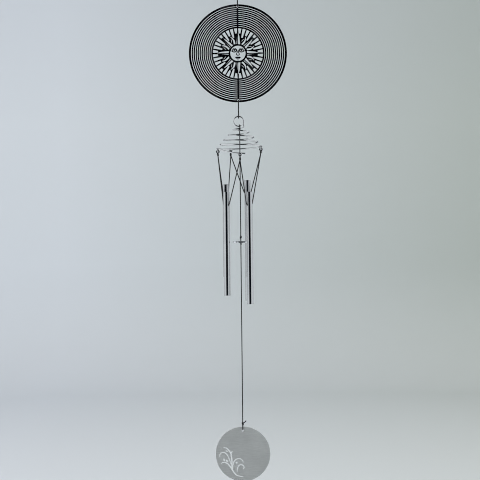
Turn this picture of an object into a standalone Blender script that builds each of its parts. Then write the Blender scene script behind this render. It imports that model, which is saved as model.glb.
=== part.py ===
"""Hanging wind spinner: a laser-cut sun disc, and below it a spiral wire hanger that carries four
chime tubes, a clapper and a round wind sail.

Metres, +Z up. The front of the disc faces -Y. The origin is the inside top of the hanging ring,
where a hook bears. The disc hangs straight below it. The hanger's spiral, the centre line, the
clapper and the sail hang LINE_X to the right of that."""

import math

import bmesh
import bpy
from mathutils import Vector

GAP = 0.0003  # left between pieces that bear on each other
WELD = 0.00002  # points nearer than this are one
LINE_X = 0.0015  # of the spiral's axis and of all that hangs on the centre line

# Hanging ring
RING_WIRE = 0.002
RING_INNER_RADIUS = 0.008

# Cord, and the loops that it is tied in
HANGING_CORD = 0.0019  # above and below the disc
CORD = 0.0016  # below the hanger
WIRE_ROUNDING = 1  # bevel resolution of cord and wire: six sides
KNOT_SWELL = 1.1  # half width of a knot, in cord widths
KNOT_HALF_HEIGHT = 0.0028

# Spinner disc
DISC_RADIUS = 0.0762
DISC_THICKNESS = 0.001
DISC_CENTRE_Z = -0.1087
RIM_WIDTH = 0.0032
RING_COUNT = 10
RING_PITCH = 0.00308
RING_WIDTH = 0.0021
SUN_RING_INNER = 0.0389
SUN_RING_OUTER = 0.0414
SPINE_WIDTH = 0.0028
HOLE_RADIUS = 0.0017
HOLE_FROM_CENTRE = 0.0729
EYELET_WIDTH = 0.0013
ARC_STEPS = 12  # along half a circle

# The sun inside the rings
FACE_RADIUS = 0.0119  # of the opening inside the face's own ring
FACE_LINE = 0.0008  # brow, nose and chin lines
RAY_COUNT = 8
RAY_ROOT = 0.0143
RAY_SHOULDER = 0.0265
RAY_TIP = 0.032
RAY_OPEN_WIDTH = 0.0033
RAY_SLIT_WIDTH = 0.0011
FLAME_ROOT = 0.015
FLAME_TIP = 0.028
FLAME_WIDTH = 0.0027
FLAME_SWAY = math.radians(4.8)  # how far a flame bends from a straight line
FLAME_ROOT_SHIFT = math.radians(1.5)  # away from a ray that opens towards it
FLAME_TIP_SHIFT = math.radians(2.5)  # to below the nearest slot
VEIN_SPAN = (0.33, 0.69)  # where the slit beside a flame starts and ends, as shares of the flame
VEIN_AWAY = (math.radians(13), math.radians(6.5))  # from the flame, at the slit's start and end
VEIN_WIDTH = 0.0009
VEIN_TAPER = 0.43  # share of its width that it loses at its ends
SLOT_COUNT = 36
SLOT_HALF_ANGLE = math.radians(3.65)
SLOT_INNER_HALF_ANGLE = math.radians(2.4)
SLOT_STARTS = (0.034, 0.031, 0.0243, 0.0249, 0.0292)  # by fives of degrees from a straight ray

# Spiral hanger
HANGER_WIRE = 0.002
LOOP_RADIUS = 0.0076
LOOP_CENTRE_Z = -0.2146
SPIRAL_TOP_Z = -0.2226
SPIRAL_FALL = 0.0092  # a turn, at the top
SPIRAL_FALL_GROWTH = -0.00035  # it falls a little less further down
SPIRAL_TOP_RADIUS = 0.0058
SPIRAL_FOOT_RADIUS = 0.0348
SPIRAL_SWELL = 1.4  # how soon the spiral reaches its foot radius
SPIRAL_TURNS = 4.79
LAST_DROP = 0.0075  # how much lower the front eye hangs than the spiral's even fall
TURN_STEPS = 15
EYE_RADIUS = 0.0022
EYE_STEPS = 8
EYE_SPACING = 0.0024  # between the wire's run in and its run out
EYE_TURNS = {"right": 4.0, "back": 4.32, "left": 4.5, "front": 4.75}

# Chime tubes: place across and in depth, top, length, and the eyes that each one hangs between
TUBE_RADIUS = 0.00475
TUBE_WALL = 0.0009
TUBE_HOLE_RADIUS = 0.0015
TUBE_HOLE_DROP = 0.0202
TUBE_SIDES = 12
TUBES = {
    "front_left": {"at": (-0.0202, -0.0165), "top": -0.3247, "length": 0.16, "eyes": ("left", "front")},
    "front_right": {"at": (0.0152, -0.0165), "top": -0.3247, "length": 0.1735, "eyes": ("front", "right")},
    "back_right": {"at": (0.0128, 0.0158), "top": -0.3055, "length": 0.1884, "eyes": ("right", "back")},
    "back_left": {"at": (-0.0213, 0.0158), "top": -0.3118, "length": 0.1447, "eyes": ("back", "left")},
}
TUBE_CORD_BEND = 0.003

# Clapper
CLAPPER_RADIUS = 0.0125
CLAPPER_THICKNESS = 0.0028
CLAPPER_Z = -0.4022
CLAPPER_KNOT_RISE = 0.0076

# Wind sail
SAIL_RADIUS = 0.0425
SAIL_THICKNESS = 0.0012
SAIL_CENTRE_Z = -0.7317
SAIL_HOLE_RADIUS = 0.0019
SAIL_HOLE_FROM_CENTRE = 0.0367
SAIL_KNOT_Z = -0.685
TAG_END = Vector((0.0055, 0, 0.0042))

CORD_RADIUS = CORD / 2
HANGER_WIRE_RADIUS = HANGER_WIRE / 2


# ---------------------------------------------------------------- scene and materials


def clear_scene():
    for old in list(bpy.data.objects):
        bpy.data.objects.remove(old, do_unlink=True)


def make_collection(name):
    collection = bpy.data.collections.new(name)
    bpy.context.scene.collection.children.link(collection)
    return collection


def make_material(name, colour, metallic, roughness):
    material = bpy.data.materials.new(name)
    material.use_nodes = True
    shader = material.node_tree.nodes["Principled BSDF"]
    shader.inputs["Base Color"].default_value = (*colour, 1)
    shader.inputs["Metallic"].default_value = metallic
    shader.inputs["Roughness"].default_value = roughness
    return material


def add_object(name, data):
    obj = bpy.data.objects.new(name, data)
    PARTS.objects.link(obj)
    return obj


def dress(obj, material, smooth_angle=None):
    """Gives the object its material, and smooth shading below smooth_angle."""
    obj.data.materials.clear()
    obj.data.materials.append(material)
    if smooth_angle is not None:
        obj.data.shade_smooth()
        obj.data.set_sharp_from_angle(angle=math.radians(smooth_angle))
    return obj


# ---------------------------------------------------------------- making solids


def as_mesh(obj):
    """A curve or a mesh with modifiers, as a plain mesh with its caps welded."""
    bpy.context.view_layer.update()
    mesh = bpy.data.meshes.new_from_object(obj.evaluated_get(bpy.context.evaluated_depsgraph_get()))
    solid = bmesh.new()
    solid.from_mesh(mesh)
    bmesh.ops.remove_doubles(solid, verts=solid.verts, dist=WELD)
    bmesh.ops.recalc_face_normals(solid, faces=solid.faces)
    solid.to_mesh(mesh)
    solid.free()
    name, placed = obj.name, obj.matrix_world.copy()
    bpy.data.objects.remove(obj, do_unlink=True)
    made = add_object(name, mesh)
    made.matrix_world = placed
    return made


def combine(first, others, operation):
    """Cuts the others from the first object, or joins them to it, one after another."""
    for other in others:
        cut = first.modifiers.new(operation.lower(), "BOOLEAN")
        cut.operation = operation
        cut.solver = "EXACT"
        cut.object = other
        first = as_mesh(first)
        bpy.data.objects.remove(other, do_unlink=True)
    return first


def wire(name, points, diameter, closed=False, swell=None):
    """A round wire or cord along the points; swell holds a factor on the radius for each."""
    curve = bpy.data.curves.new(name, "CURVE")
    curve.dimensions = "3D"
    curve.bevel_depth = diameter / 2
    curve.bevel_resolution = WIRE_ROUNDING
    curve.use_fill_caps = True
    spline = curve.splines.new("POLY")
    spline.points.add(len(points) - 1)
    spline.use_cyclic_u = closed
    for i, place in enumerate(points):
        spline.points[i].co = (*place, 1)
        spline.points[i].radius = swell[i] if swell else 1
    return add_object(name, curve)


def sheet(name, outlines, thickness, centre_z):
    """A flat sheet that stands in the XZ plane: the first outline is its edge, the rest are holes."""
    curve = bpy.data.curves.new(name, "CURVE")
    curve.dimensions = "2D"
    curve.fill_mode = "BOTH"
    curve.extrude = thickness / 2
    for outline in outlines:
        spline = curve.splines.new("POLY")
        spline.points.add(len(outline) - 1)
        spline.use_cyclic_u = True
        for point, (across, up) in zip(spline.points, outline):
            point.co = (across, up, 0, 1)
    obj = add_object(name, curve)
    obj.location = (0, 0, centre_z)
    obj.rotation_euler = (math.radians(90), 0, 0)
    return as_mesh(obj)


def turned(name, profile, steps, centre):
    """A closed profile of (radius, height), turned round the vertical."""
    mesh = bpy.data.meshes.new(name)
    shape = bmesh.new()
    corners = [shape.verts.new((radius, 0, height)) for radius, height in profile]
    for i, corner in enumerate(corners):
        shape.edges.new((corner, corners[(i + 1) % len(corners)]))
    shape.to_mesh(mesh)
    shape.free()
    obj = add_object(name, mesh)
    screw = obj.modifiers.new("turn", "SCREW")
    screw.steps = steps
    screw.render_steps = steps
    screw.use_merge_vertices = True
    screw.merge_threshold = 0.00001
    obj.location = centre
    return as_mesh(obj)


def knot(name, centre, cord):
    """A pulled knot: a small ball, longer than it is wide."""
    mesh = bpy.data.meshes.new(name)
    ball = bmesh.new()
    bmesh.ops.create_uvsphere(ball, u_segments=8, v_segments=5, radius=1)
    ball.to_mesh(mesh)
    ball.free()
    obj = add_object(name, mesh)
    obj.location = centre
    obj.scale = (KNOT_SWELL * cord, KNOT_SWELL * cord, KNOT_HALF_HEIGHT)
    obj.rotation_euler = (0, 0, math.radians(11))
    bpy.context.view_layer.update()
    mesh.transform(obj.matrix_world)
    obj.matrix_world.identity()
    return obj


# ---------------------------------------------------------------- outlines


def polar(radius, angle):
    return (radius * math.cos(angle), radius * math.sin(angle))


def arc(radius, start, end, steps, centre=(0, 0)):
    """Points along an arc, both ends included."""
    made = []
    for i in range(steps + 1):
        across, up = polar(radius, start + (end - start) * i / steps)
        made.append((centre[0] + across, centre[1] + up))
    return made


def circle(radius, steps, centre=(0, 0)):
    return arc(radius, 0, math.tau * (steps - 1) / steps, steps - 1, centre)


def bezier(start, pull_start, pull_end, end, steps):
    """Points along a cubic curve, without its last one."""
    made = []
    for i in range(steps):
        t = i / steps
        weights = ((1 - t) ** 3, 3 * t * (1 - t) ** 2, 3 * t * t * (1 - t), t ** 3)
        corners = (start, pull_start, pull_end, end)
        made.append(tuple(sum(w * c[k] for w, c in zip(weights, corners)) for k in (0, 1)))
    return made


def mirrored(outline):
    return [(-across, up) for across, up in reversed(outline)]


def ring_gaps():
    """Inner and outer radius of each gap between the disc's rings, from the rim inwards."""
    gaps = []
    outer = DISC_RADIUS - RIM_WIDTH
    first_ring = outer - RING_PITCH + RING_WIDTH / 2
    for i in range(RING_COUNT):
        ring_outer = first_ring - i * RING_PITCH + RING_WIDTH / 2
        gaps.append((ring_outer, outer))
        outer = ring_outer - RING_WIDTH
    gaps.append((SUN_RING_OUTER, outer))
    return gaps


def spine_half_angle(radius):
    """Half the angle that the spine takes at a radius, with the eyelet round the hanging hole."""
    eyelet = HOLE_RADIUS + EYELET_WIDTH
    reach = max(0, eyelet ** 2 - (radius - HOLE_FROM_CENTRE) ** 2) ** 0.5
    return math.asin(max(SPINE_WIDTH / 2, reach) / radius)


def ring_slots():
    """The half-round slots that leave the rings standing, on both sides of the spine."""
    slots = []
    for inner, outer in ring_gaps():
        trim_in = spine_half_angle(inner)
        trim_out = spine_half_angle(outer)
        quarter = math.pi / 2
        slot = arc(outer, -quarter + trim_out, quarter - trim_out, ARC_STEPS)
        slot += arc(inner, quarter - trim_in, -quarter + trim_in, ARC_STEPS)
        slots += [slot, mirrored(slot)]
    return slots


def sun_slots():
    """The narrow wedges between the bars that run in from the sun's ring to its rays."""
    slots = []
    ray_step = math.tau / RAY_COUNT
    for i in range(SLOT_COUNT):
        angle = (i + 0.5) * math.tau / SLOT_COUNT
        from_ray = abs((angle + ray_step / 2) % ray_step - ray_step / 2)
        inner = SLOT_STARTS[round(math.degrees(from_ray) / 5)]
        slot = arc(SUN_RING_INNER, angle - SLOT_HALF_ANGLE, angle + SLOT_HALF_ANGLE, 1)
        slot += arc(inner, angle + SLOT_INNER_HALF_ANGLE, angle - SLOT_INNER_HALF_ANGLE, 1)
        slots.append(slot)
    return slots


def beside(angle, radius, side):
    """A point at a radius along a ray, and a distance to its side."""
    along, off = polar(radius, angle), polar(side, angle + math.pi / 2)
    return (along[0] + off[0], along[1] + off[1])


def open_side(angle):
    """The side of a straight ray that is open: +1 for the one at greater angles."""
    return 1 if math.cos(angle) * 0.8 >= math.sin(angle) else -1


def straight_ray(angle):
    """The two cuts of a straight ray: one half open, the other half a thin slit."""
    side = open_side(angle)
    axis = FACE_LINE / 2
    half = [
        beside(angle, RAY_ROOT, side * axis),
        beside(angle, RAY_ROOT - 0.0004, side * (axis + RAY_OPEN_WIDTH)),
        beside(angle, RAY_SHOULDER, side * (axis + 0.62 * RAY_OPEN_WIDTH)),
        beside(angle, RAY_TIP, side * (axis + 0.0003)),
        beside(angle, RAY_TIP, side * axis),
    ]
    slit = [
        beside(angle, RAY_ROOT + 0.0004, -side * RAY_SLIT_WIDTH),
        beside(angle, RAY_ROOT + 0.0002, -side * 2 * RAY_SLIT_WIDTH),
        beside(angle, RAY_SHOULDER, -side * 0.8 * RAY_SLIT_WIDTH),
    ]
    return [half, slit]


def flame_angle(index, t):
    """Where a flame's middle line lies after a share of its length. It bends upwards in the disc's
    lower half and downwards in its upper half."""
    ray_step = math.tau / RAY_COUNT
    middle = (index + 0.5) * ray_step
    root = middle + FLAME_ROOT_SHIFT * (open_side(index * ray_step) + open_side((index + 1) * ray_step))
    tip = middle + FLAME_TIP_SHIFT * (-1) ** index
    bend = -FLAME_SWAY if index < RAY_COUNT / 2 else FLAME_SWAY
    return root + t * (tip - root) + bend * math.sin(t * math.pi)


def flame_ray(index):
    """The cut of a flame between two straight rays."""
    sides = {1: [], -1: []}
    steps = 6
    for i in range(steps + 1):
        t = i / steps
        radius = FLAME_ROOT + t * (FLAME_TIP - FLAME_ROOT)
        width = FLAME_WIDTH / 2 * (1 - t * t) ** 0.5
        for side in sides:
            sides[side].append(beside(flame_angle(index, t), radius, side * width))
    return sides[1] + sides[-1][-2::-1]


def flame_vein(index):
    """The thin slit beside a flame, on the side that it bends away from."""
    away = 1 if index < RAY_COUNT / 2 else -1
    sides = {1: [], -1: []}
    steps = 2
    for i in range(steps + 1):
        share = i / steps
        t = VEIN_SPAN[0] + share * (VEIN_SPAN[1] - VEIN_SPAN[0])
        radius = FLAME_ROOT + t * (FLAME_TIP - FLAME_ROOT)
        angle = flame_angle(index, t) + away * (VEIN_AWAY[0] + share * (VEIN_AWAY[1] - VEIN_AWAY[0]))
        width = VEIN_WIDTH / 2 * (1 - VEIN_TAPER * abs(2 * share - 1))
        for side in sides:
            sides[side].append(beside(angle, radius, side * width))
    return sides[1] + sides[-1][::-1]


def face_cuts():
    """The openings of the face. What is left is drawn in metal: eyes, nose, mouth and chin line."""
    line = FACE_LINE / 2
    forehead = arc(FACE_RADIUS, math.radians(22.5), math.radians(157.5), 10)
    inside = bezier((-0.0094, 0.0042), (-0.0084, 0.0092), (-0.0034, 0.0098), (-0.0014, 0.0058), 5)
    inside += [(-0.0014, 0.0058), (-0.0003, 0.0038), (-0.0003, 0.0014), (-0.0015, -0.0008), (-0.0008, -0.0022)]
    forehead += inside + mirrored(inside)
    cheek = arc(FACE_RADIUS, math.radians(-88), math.radians(15.5), 8)
    cheek += bezier((0.0097, 0.0030), (0.0078, 0.0012), (0.0038, 0.0002), (0.0019, 0.0032), 4)
    cheek += [(0.0019, 0.0032), (0.0016, 0.0020), (0.0030, -0.0012), (0.0027, -0.0024)]
    cheek += [(0.0014, -0.0032), (line, -0.0034), (line, -0.0060)]
    cheek += [(0.0022, -0.0051), (0.0044, -0.0064), (0.0022, -0.0081), (line, -0.0074)]
    lid = bezier((0.0026, 0.0056), (0.0038, 0.0084), (0.0070, 0.0082), (0.0085, 0.0048), 4)
    lid += bezier((0.0085, 0.0048), (0.0068, 0.0073), (0.0042, 0.0073), (0.0026, 0.0056), 3)
    white = bezier((0.0029, 0.0040), (0.0036, 0.0047), (0.0041, 0.0050), (0.0046, 0.0051), 2)
    white += [(0.0046, 0.0051), (0.0049, 0.0038), (0.0056, 0.0034), (0.0063, 0.0038), (0.0066, 0.0050)]
    white += bezier((0.0066, 0.0050), (0.0074, 0.0048), (0.0080, 0.0043), (0.0085, 0.0038), 2)[1:]
    white += bezier((0.0085, 0.0038), (0.0070, 0.0026), (0.0042, 0.0026), (0.0029, 0.0040), 3)
    return [forehead, cheek, mirrored(cheek), lid, mirrored(lid), white, mirrored(white)]


# ---------------------------------------------------------------- routes of wire and cord


def tied_loop(low, low_radius, high, high_radius, cord, astride=0):
    """A closed loop of cord in the YZ plane, round the axis: it bends round what holds it at its
    upper end and round what it holds at its lower end, stands astride of that for a height, and its
    two strands lie close between."""
    close = cord / 2 + GAP / 2
    steps = 4
    parting = low + low_radius + astride
    run = min(0.005, (high - high_radius - parting) / 3)
    route = []
    for i in range(steps + 1):
        turn = math.pi * i / steps
        route.append((0, low_radius * math.cos(turn), low + low_radius - low_radius * math.sin(turn)))
    if astride:
        route.append((0, -low_radius, parting))
    route += [(0, -close, parting + run), (0, -close, high - high_radius - run)]
    for i in range(steps + 1):
        turn = math.pi * i / steps
        route.append((0, -high_radius * math.cos(turn), high - high_radius + high_radius * math.sin(turn)))
    route += [(0, close, high - high_radius - run), (0, close, parting + run)]
    if astride:
        route.append((0, low_radius, parting))
    return route


def hanging_loop():
    """The closed loop at the top of the hanger, from its free end round to where it drops."""
    first, last, steps = math.radians(-55), math.radians(-370), 16
    route = []
    for i in range(steps + 1):
        turn = first + (last - first) * i / steps
        route.append(Vector((LOOP_RADIUS * math.cos(turn), 0, LOOP_CENTRE_Z + LOOP_RADIUS * math.sin(turn))))
    return route


def spiral_point(turns):
    """The spiral's centreline after so many turns, without its eyes."""
    grown = 1 - (1 - min(1, turns / EYE_TURNS["front"])) ** SPIRAL_SWELL
    radius = SPIRAL_TOP_RADIUS + (SPIRAL_FOOT_RADIUS - SPIRAL_TOP_RADIUS) * grown
    angle = math.tau * turns
    left, front = EYE_TURNS["left"], EYE_TURNS["front"]
    past = min(1, max(0, (turns - left) / (front - left)))
    height = SPIRAL_TOP_Z - SPIRAL_FALL * turns - SPIRAL_FALL_GROWTH * turns * turns
    height -= LAST_DROP * past * past * (3 - 2 * past)
    return Vector((LINE_X + radius * math.cos(angle), radius * math.sin(angle), height))


def outwards(turns):
    return Vector((math.cos(math.tau * turns), math.sin(math.tau * turns), 0))


def onwards(turns):
    return Vector((-math.sin(math.tau * turns), math.cos(math.tau * turns), 0))


def eye_shift(turns):
    """How far the run of the wire stands out or in beside an eye, so that it clears itself."""
    shift = 0
    for eye in EYE_TURNS.values():
        along = (turns - eye) * math.tau * SPIRAL_FOOT_RADIUS
        shift += math.copysign(EYE_SPACING / 2, -along) * math.exp(-((along / 0.006) ** 2))
    return shift


def eye_route(turns):
    """The small full curl that makes an eye in the wire."""
    route = []
    for i in range(EYE_STEPS + 1):
        turn = math.tau * i / EYE_STEPS
        side = EYE_SPACING * (0.5 - i / EYE_STEPS)
        place = spiral_point(turns) + outwards(turns) * side + onwards(turns) * EYE_RADIUS * math.sin(turn)
        route.append(place - Vector((0, 0, EYE_RADIUS * (1 - math.cos(turn)))))
    return route


def drop_to_spiral(loop_end, loop_way, spiral_start, spiral_way):
    """The bend from the upright loop into the first turn."""
    reach = (spiral_start - loop_end).length * 0.45
    corners = (loop_end, loop_end + loop_way * reach, spiral_start - spiral_way * reach, spiral_start)
    route = []
    for i in range(1, 6):
        t = i / 6
        weights = ((1 - t) ** 3, 3 * t * (1 - t) ** 2, 3 * t * t * (1 - t), t ** 3)
        route.append(sum((corner * w for corner, w in zip(corners, weights)), Vector()))
    return route


def hanger_route():
    loop = hanging_loop()
    start = 0.1
    run_on = (spiral_point(start + 0.01) - spiral_point(start)).normalized()
    route = loop + drop_to_spiral(loop[-1], (loop[-1] - loop[-2]).normalized(), spiral_point(start), run_on)
    stops = [start, *EYE_TURNS.values(), SPIRAL_TURNS]
    clear = 0.004 / (math.tau * SPIRAL_FOOT_RADIUS)
    for i in range(len(stops) - 1):
        begin = stops[i] + (clear if i else 0)
        end = stops[i + 1] - (clear if stops[i + 1] in EYE_TURNS.values() else 0)
        steps = max(2, round((end - begin) * TURN_STEPS))
        for k in range(steps + 1):
            turns = begin + (end - begin) * k / steps
            route.append(spiral_point(turns) + outwards(turns) * eye_shift(turns))
        if stops[i + 1] in EYE_TURNS.values():
            route += eye_route(stops[i + 1])
    return route


def eye_foot(eye):
    """The middle of the wire at the bottom of an eye."""
    return spiral_point(EYE_TURNS[eye]) - Vector((0, 0, 2 * EYE_RADIUS))


def eye_knot(eye):
    """The middle of the knot that ties the cord below an eye."""
    hang = HANGER_WIRE_RADIUS + GAP + CORD_RADIUS
    return eye_foot(eye) - Vector((0, 0, hang + KNOT_HALF_HEIGHT - CORD_RADIUS))


def eye_tie(eye):
    """The turn of cord through an eye."""
    radius = HANGER_WIRE_RADIUS + GAP + CORD_RADIUS
    out = outwards(EYE_TURNS[eye])
    foot = eye_foot(eye)
    steps = 8
    turns = [math.tau * (i + 0.5) / steps for i in range(steps)]
    return [foot + out * radius * math.cos(t) + Vector((0, 0, radius * math.sin(t))) for t in turns]


def tube_hole(tube):
    """The middle of the cross hole, and the level way through it from the first eye to the second."""
    first, second = (eye_foot(eye) for eye in tube["eyes"])
    way = second - first
    way.z = 0
    return Vector((*tube["at"], tube["top"] - TUBE_HOLE_DROP)), way.normalized()


def leg_route(knot_centre, hole, way):
    """One leg of a tube's cord: down from the knot, round a bend, into the hole on that side."""
    up = Vector((0, 0, 1))
    bend_centre = hole + way * (TUBE_RADIUS - TUBE_WALL) + up * (TUBE_CORD_BEND + 0.0002)
    start = knot_centre - up * KNOT_HALF_HEIGHT * 0.5
    bend = []
    for degrees in (75, 40, 0):
        turn = math.radians(degrees)
        bend.append(bend_centre + way * TUBE_CORD_BEND * math.sin(turn) - up * TUBE_CORD_BEND * math.cos(turn))
    return [start, start.lerp(bend[0], 0.5), *bend]


def tube_cord_route(tube):
    """From one knot down through the tube and up to the next knot."""
    hole, way = tube_hole(tube)
    first, second = (eye_knot(eye) for eye in tube["eyes"])
    return leg_route(first, hole, -way) + leg_route(second, hole, way)[::-1]


# ---------------------------------------------------------------- the pieces


def hanging_ring():
    bpy.ops.mesh.primitive_torus_add(
        major_radius=RING_INNER_RADIUS + RING_WIRE / 2,
        minor_radius=RING_WIRE / 2,
        major_segments=20,
        minor_segments=6,
        location=(0, 0, -RING_INNER_RADIUS),
        rotation=(math.radians(90), 0, 0),
    )
    ring = bpy.context.object
    ring.name = "hanging_ring"
    for collection in list(ring.users_collection):
        collection.objects.unlink(ring)
    PARTS.objects.link(ring)
    return dress(ring, STEEL, 60)


def hanging_cord():
    """Looped through the top ring and through the disc's upper hole, with a knot between."""
    radius = HANGING_CORD / 2
    low = DISC_CENTRE_Z + HOLE_FROM_CENTRE + HOLE_RADIUS - GAP - 0.0002 - radius
    ring_reach = RING_WIRE / 2 + GAP + radius
    high = -2 * RING_INNER_RADIUS - RING_WIRE / 2 + ring_reach
    disc_reach = DISC_THICKNESS / 2 + 2 * GAP + radius
    route = tied_loop(low, disc_reach, high, ring_reach, HANGING_CORD)
    cord = as_mesh(wire("hanging_cord", route, HANGING_CORD, closed=True))
    cord = combine(cord, [knot("hanging_cord_knot", (0, 0, high - 0.0075), HANGING_CORD)], "UNION")
    return dress(cord, CORD_BLACK, 60)


def spinner_disc():
    holes = [circle(HOLE_RADIUS, 8, (0, side * HOLE_FROM_CENTRE)) for side in (1, -1)]
    cuts = holes + ring_slots() + sun_slots() + face_cuts()
    for i in range(RAY_COUNT):
        cuts += straight_ray(i * math.tau / RAY_COUNT)
        cuts += [flame_ray(i), flame_vein(i)]
    edge = circle(DISC_RADIUS, 4 * ARC_STEPS)
    return dress(sheet("spinner_disc", [edge, *cuts], DISC_THICKNESS, DISC_CENTRE_Z), DISC_STEEL)


def link_cord():
    """Looped through the disc's lower hole and through the top of the hanger."""
    radius = HANGING_CORD / 2
    high = DISC_CENTRE_Z - HOLE_FROM_CENTRE - HOLE_RADIUS + GAP + 0.0002 + radius
    wire_reach = HANGER_WIRE_RADIUS + GAP + radius
    low = LOOP_CENTRE_Z + LOOP_RADIUS - wire_reach
    disc_reach = DISC_THICKNESS / 2 + 2 * GAP + radius
    route = tied_loop(low, wire_reach, high, disc_reach, HANGING_CORD)
    return dress(as_mesh(wire("link_cord", route, HANGING_CORD, closed=True)), CORD_BLACK, 60)


def spiral_hanger():
    return dress(as_mesh(wire("spiral_hanger", hanger_route(), HANGER_WIRE)), STEEL, 60)


def chime_tube(name, tube):
    """A drawn tube, open at both ends, with one hole drilled across it for the cord."""
    top, bottom = tube["top"], tube["top"] - tube["length"]
    bore = TUBE_RADIUS - TUBE_WALL
    profile = [(bore, top), (TUBE_RADIUS, top), (TUBE_RADIUS, bottom), (bore, bottom)]
    made = turned(f"tube_{name}", profile, TUBE_SIDES, (*tube["at"], 0))
    hole, way = tube_hole(tube)
    drill = bmesh.new()
    bmesh.ops.create_cone(
        drill,
        cap_ends=True,
        segments=10,
        radius1=TUBE_HOLE_RADIUS,
        radius2=TUBE_HOLE_RADIUS,
        depth=4 * TUBE_RADIUS,
    )
    mesh = bpy.data.meshes.new("tube_drill")
    drill.to_mesh(mesh)
    drill.free()
    cutter = add_object("tube_drill", mesh)
    cutter.rotation_mode = "QUATERNION"
    cutter.rotation_quaternion = way.to_track_quat("Z", "Y")
    cutter.location = hole
    return dress(combine(made, [cutter], "DIFFERENCE"), TUBE_ALUMINIUM, 40)


def tube_cord():
    """One cord, laced from eye to eye through the four tubes and knotted below each eye."""
    legs = [wire(f"leg_{name}", tube_cord_route(tube), CORD) for name, tube in TUBES.items()]
    legs = [as_mesh(leg) for leg in legs]
    ties = [as_mesh(wire(f"tie_{eye}", eye_tie(eye), CORD, closed=True)) for eye in EYE_TURNS]
    knots = [knot(f"knot_{eye}", eye_knot(eye), CORD) for eye in EYE_TURNS]
    cord = combine(legs[0], knots + legs[1:] + ties, "UNION")
    cord.name = "tube_cord"
    return dress(cord, CORD_BLACK, 60)


def line_hold():
    """The middle of the hanger's wire where the centre line is tied round it."""
    return Vector((LINE_X, 0, LOOP_CENTRE_Z - (LOOP_RADIUS ** 2 - LINE_X ** 2) ** 0.5))


def centre_line_route():
    """The straight line from the hanger to the sail, with the swell of its knots at the clapper."""
    top = line_hold().z - HANGER_WIRE_RADIUS - GAP - CORD_RADIUS - KNOT_HALF_HEIGHT
    above = CLAPPER_Z + CLAPPER_KNOT_RISE
    below = CLAPPER_Z - CLAPPER_THICKNESS / 2 - GAP
    stations = [
        (top, 1),
        (above + 0.0030, 1),
        (above + 0.0014, 2.2),
        (above - 0.0014, 2.2),
        (above - 0.0030, 1),
        (below, 1),
        (below - 0.0008, 1.9),
        (below - 0.0020, 1.9),
        (below - 0.0030, 1),
        (SAIL_KNOT_Z, 1),
    ]
    return [Vector((LINE_X, 0, z)) for z, _ in stations], [swell for _, swell in stations]


def centre_line():
    """Tied round the bottom of the hanger's loop, through the clapper, and tied in the sail's hole."""
    route, swell = centre_line_route()
    line = as_mesh(wire("centre_line", route, CORD, swell=swell))
    reach = HANGER_WIRE_RADIUS + GAP + CORD_RADIUS
    hold = line_hold()
    down = (hold - Vector((0, 0, LOOP_CENTRE_Z))).normalized()
    turns = [math.tau * (i + 0.5) / 8 for i in range(8)]
    top_tie = [hold + Vector((0, reach * math.cos(t), 0)) + down * reach * math.sin(t) for t in turns]
    hole_edge = SAIL_CENTRE_Z + SAIL_HOLE_FROM_CENTRE + SAIL_HOLE_RADIUS
    low = hole_edge - GAP - 0.0002 - CORD_RADIUS
    sail_reach = SAIL_THICKNESS / 2 + 2 * GAP + CORD_RADIUS
    astride = SAIL_CENTRE_Z + SAIL_RADIUS + GAP - low - sail_reach
    foot_tie = tied_loop(low, sail_reach, SAIL_KNOT_Z, CORD_RADIUS + GAP / 2, CORD, astride)
    foot_tie = [(LINE_X, depth, height) for _, depth, height in foot_tie]
    tag_root = Vector((LINE_X, 0, SAIL_KNOT_Z + 0.0008))
    tag = [tag_root, tag_root + TAG_END * 0.55 + Vector((0, 0, -0.0004)), tag_root + TAG_END]
    others = [
        knot("top_knot", route[0], CORD),
        knot("foot_knot", route[-1], CORD),
        as_mesh(wire("top_tie", top_tie, CORD, closed=True)),
        as_mesh(wire("foot_tie", foot_tie, CORD, closed=True)),
        as_mesh(wire("tag", tag, CORD)),
    ]
    return dress(combine(line, others, "UNION"), CORD_BLACK, 60)


def clapper():
    """A thin round disc with a soft edge, on the centre line."""
    bore = CORD_RADIUS + GAP
    half, soft = CLAPPER_THICKNESS / 2, CLAPPER_THICKNESS / 4
    profile = [
        (bore, half),
        (CLAPPER_RADIUS - soft, half),
        (CLAPPER_RADIUS, half - soft),
        (CLAPPER_RADIUS, soft - half),
        (CLAPPER_RADIUS - soft, -half),
        (bore, -half),
    ]
    return dress(turned("clapper", profile, 24, (LINE_X, 0, CLAPPER_Z)), CLAPPER_STEEL, 40)


def sail():
    hole = circle(SAIL_HOLE_RADIUS, 10, (LINE_X, SAIL_HOLE_FROM_CENTRE))
    outlines = [circle(SAIL_RADIUS, 48, (LINE_X, 0)), hole]
    return dress(sheet("sail", outlines, SAIL_THICKNESS, SAIL_CENTRE_Z), SAIL_STEEL)


clear_scene()
PARTS = make_collection("wind_spinner")
STEEL = make_material("polished_steel", (0.72, 0.73, 0.75), 1.0, 0.12)
TUBE_ALUMINIUM = make_material("polished_aluminium", (0.80, 0.80, 0.81), 1.0, 0.10)
DISC_STEEL = make_material("dark_steel", (0.045, 0.047, 0.055), 1.0, 0.25)
SAIL_STEEL = make_material("satin_steel", (0.33, 0.34, 0.34), 1.0, 0.42)
CLAPPER_STEEL = make_material("clapper_steel", (0.70, 0.72, 0.74), 1.0, 0.08)
CORD_BLACK = make_material("black_cord", (0.012, 0.012, 0.014), 0.0, 0.75)

hanging_ring()
hanging_cord()
spinner_disc()
link_cord()
spiral_hanger()
for tube_name, tube_sizes in TUBES.items():
    chime_tube(tube_name, tube_sizes)
tube_cord()
centre_line()
clapper()
sail()
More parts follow.
